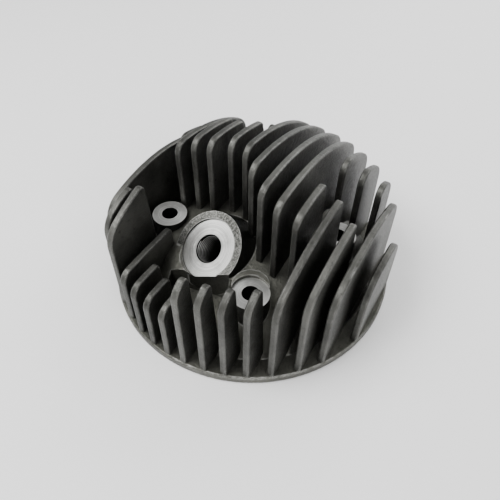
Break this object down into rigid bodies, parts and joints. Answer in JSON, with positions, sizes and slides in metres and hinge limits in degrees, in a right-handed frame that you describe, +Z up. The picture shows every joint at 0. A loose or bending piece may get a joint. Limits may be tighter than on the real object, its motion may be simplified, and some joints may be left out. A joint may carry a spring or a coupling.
{
  "type": "cylinder head",
  "caption": "Round finned cylinder head of an air-cooled two-stroke engine, with a leaning spark plug hole and bored stud bosses.",
  "frame": {"origin": "cylinder axis at the gasket plane, the flat underside of the flange", "axes": "+Z up along the cylinder axis, out of the engine; +Y along the cooling fins, to the side away from the spark plug; +X across the fins"},
  "size_m": [0.14, 0.14, 0.0724],
  "materials": {
    "cast_aluminium": "matte",
    "machined_aluminium": "satin"
  },
  "bodies": {
    "root": {"base_flange": "cast_aluminium", "chamber_dome": "cast_aluminium", "fin_01": "cast_aluminium", "fin_02_front": "cast_aluminium", "fin_02_rear": "cast_aluminium", "fin_03_front": "cast_aluminium", "fin_03_rear": "cast_aluminium", "fin_04_front": "cast_aluminium", "fin_04_mid": "cast_aluminium", "fin_04_rear": "cast_aluminium", "fin_05_front": "cast_aluminium", "fin_05_mid": "cast_aluminium", "fin_05_rear": "cast_aluminium", "fin_06_front": "cast_aluminium", "fin_06_mid": "cast_aluminium", "fin_06_rear": "cast_aluminium", "fin_07_front": "cast_aluminium", "fin_07_rear": "cast_aluminium", "fin_08_front": "cast_aluminium", "fin_08_rear": "cast_aluminium", "fin_09_front": "cast_aluminium", "fin_09_rear": "cast_aluminium", "fin_10_front": "cast_aluminium", "fin_10_rear": "cast_aluminium", "fin_11_front": "cast_aluminium", "fin_11_mid": "cast_aluminium", "fin_11_rear": "cast_aluminium", "fin_12_front": "cast_aluminium", "fin_12_rear": "cast_aluminium", "fin_13_front": "cast_aluminium", "fin_13_rear": "cast_aluminium", "fin_14": "cast_aluminium", "fin_15": "cast_aluminium", "plug_boss": "machined_aluminium", "stud_boss_front_left": "machined_aluminium", "stud_boss_front_right": "machined_aluminium", "stud_boss_rear_left": "machined_aluminium", "stud_boss_rear_right": "machined_aluminium"}
  },
  "joints": []
}
